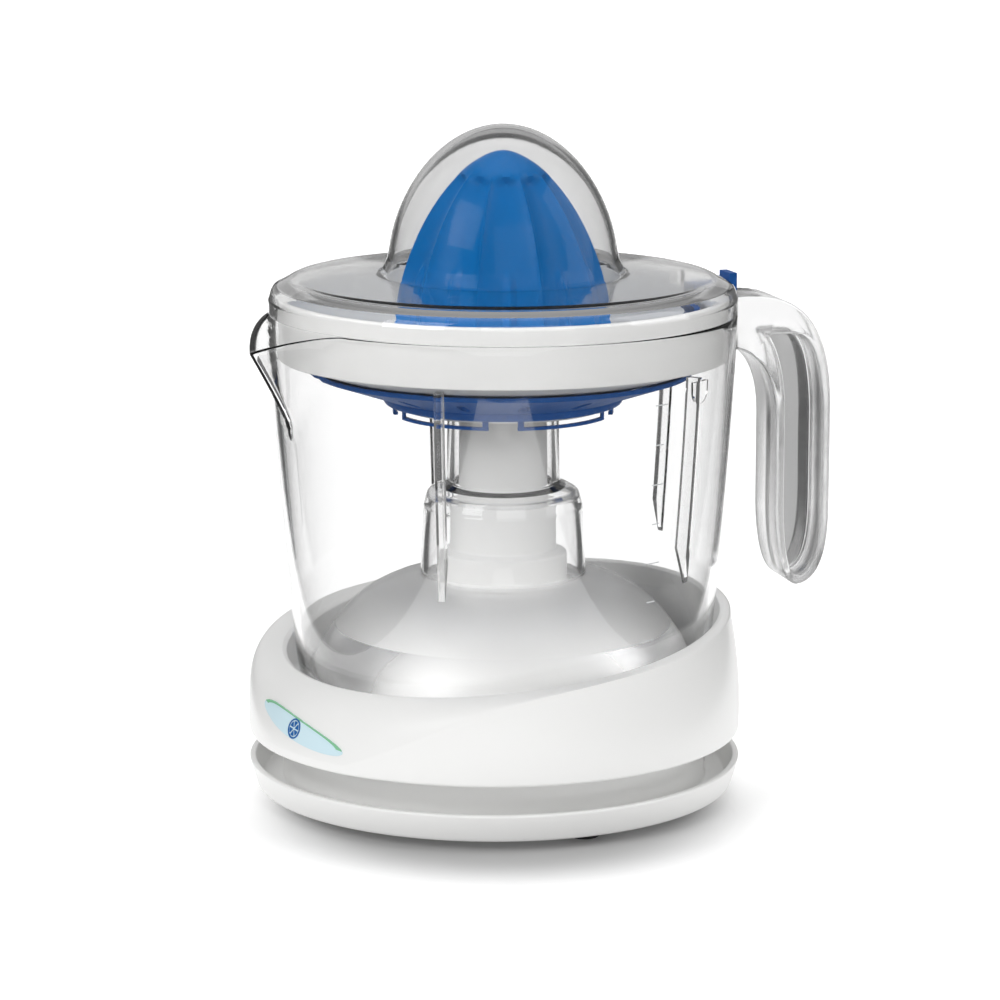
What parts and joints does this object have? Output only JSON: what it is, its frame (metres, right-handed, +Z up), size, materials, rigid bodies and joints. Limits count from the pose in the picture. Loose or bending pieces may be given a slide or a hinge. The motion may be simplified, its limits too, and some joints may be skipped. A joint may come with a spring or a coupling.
{
  "type": "citrus press juicer",
  "caption": "Electric citrus juicer: motor base with cord store, clear jug with spout and hanging handle, strainer, pulp control ring, ribbed reamer cone and clear dust cover.",
  "frame": {"origin": "on the supporting surface, under the middle of the outline from spout tip to handle; the spindle axis is 11.3 mm towards the spout from it", "axes": "+Z up along the spindle, +X towards the handle, -X towards the spout, -Y the front"},
  "size_m": [0.1974, 0.163, 0.221],
  "materials": {
    "base_shell": "glossy injection-moulded white plastic",
    "bottom_cover": "glossy injection-moulded white plastic",
    "feet": "matte black rubber",
    "screws": "zinc plated or ground steel",
    "badge": null,
    "gear_plastic": "natural acetal, satin",
    "steel": "zinc plated or ground steel",
    "dark_plastic": "black moulded plastic",
    "switch_button": "glossy blue plastic",
    "stator_core": "stacked steel laminations",
    "coils": "enamelled copper winding",
    "rotor_magnet": "dark sintered ferrite",
    "jug": "polished clear styrene plastic",
    "jug_handle": "clear styrene plastic, satin inside",
    "strainer_basket": "glossy injection-moulded white plastic",
    "pulp_ring": "glossy blue plastic",
    "reamer_cone": "glossy blue plastic",
    "dust_cover": "polished clear styrene plastic"
  },
  "bodies": {
    "base": {"base_shell": "base_shell", "bottom_cover": "bottom_cover", "foot_1": "feet", "foot_2": "feet", "foot_3": "feet", "foot_4": "feet", "cover_screw_1": "screws", "cover_screw_2": "screws", "cover_screw_3": "screws", "cover_screw_4": "screws", "badge": "badge", "gear_plate": "dark_plastic", "plate_screw_1": "screws", "plate_screw_2": "screws", "plate_screw_3": "screws", "idler_pin": "steel", "stator_core": "stator_core", "stator_coil_front": "coils", "stator_coil_rear": "coils", "motor_bracket": "steel", "motor_screw_1": "screws", "motor_screw_2": "screws", "spindle_bush": "gear_plastic", "return_spring": "steel", "switch_body": "dark_plastic"},
    "jug": {"jug": "jug", "jug_handle": "jug_handle", "strainer_basket": "strainer_basket"},
    "cover": {"dust_cover": "dust_cover"},
    "pulp_control": {"pulp_ring": "pulp_ring"},
    "plunger": {"thrust_plunger": "gear_plastic"},
    "spindle": {"spindle": "steel", "spindle_clip": "steel", "output_gear": "gear_plastic"},
    "cone": {"reamer_cone": "reamer_cone"},
    "rotor": {"rotor_magnet": "rotor_magnet", "rotor_shaft": "steel", "rotor_pinion": "gear_plastic"},
    "idler": {"idler_gear": "gear_plastic"},
    "switch": {"switch_button": "switch_button"}
  },
  "joints": [
    {"name": "jug_lift", "type": "slide", "parent": "base", "child": "jug", "axis": [0, 0, 1], "range_m": [0, 0.16]},
    {"name": "cover_lift", "type": "slide", "parent": "jug", "child": "cover", "axis": [0, 0, 1], "range_m": [0, 0.075]},
    {"name": "pulp_turn", "type": "hinge", "parent": "jug", "child": "pulp_control", "pos_m": [-0.01129, 0, 0.14], "axis": [0, 0, 1], "range_deg": [-12, 12]},
    {"name": "cone_press", "type": "slide", "parent": "base", "child": "plunger", "axis": [0, 0, 1], "range_m": [-0.0025, 0], "stiffness_N_per_m": 2000, "springref_m": 0.002, "deforming": ["return_spring"]},
    {"name": "spindle_spin", "type": "hinge", "parent": "plunger", "child": "spindle", "pos_m": [-0.01129, 0, 0.1], "axis": [0, 0, 1], "continuous": true},
    {"name": "cone_lift", "type": "slide", "parent": "spindle", "child": "cone", "axis": [0, 0, 1], "range_m": [0, 0.16]},
    {"name": "idler_spin", "type": "hinge", "parent": "base", "child": "idler", "pos_m": [-0.01129, 0.03, 0.045], "axis": [0, 0, 1], "continuous": true},
    {"name": "rotor_spin", "type": "hinge", "parent": "base", "child": "rotor", "pos_m": [-0.02966, 0.04018, 0.03], "axis": [0, 0, 1], "continuous": true},
    {"name": "switch_press", "type": "slide", "parent": "base", "child": "switch", "axis": [0, 0, 1], "range_m": [-0.0025, 0]}
  ],
  "couplings": [
    {"joint": "cone_lift", "follows": "jug_lift", "ratio": 1},
    {"joint": "idler_spin", "follows": "rotor_spin", "ratio": -0.16667},
    {"joint": "spindle_spin", "follows": "rotor_spin", "ratio": 0.033333},
    {"joint": "switch_press", "follows": "cone_press", "ratio": 1}
  ]
}
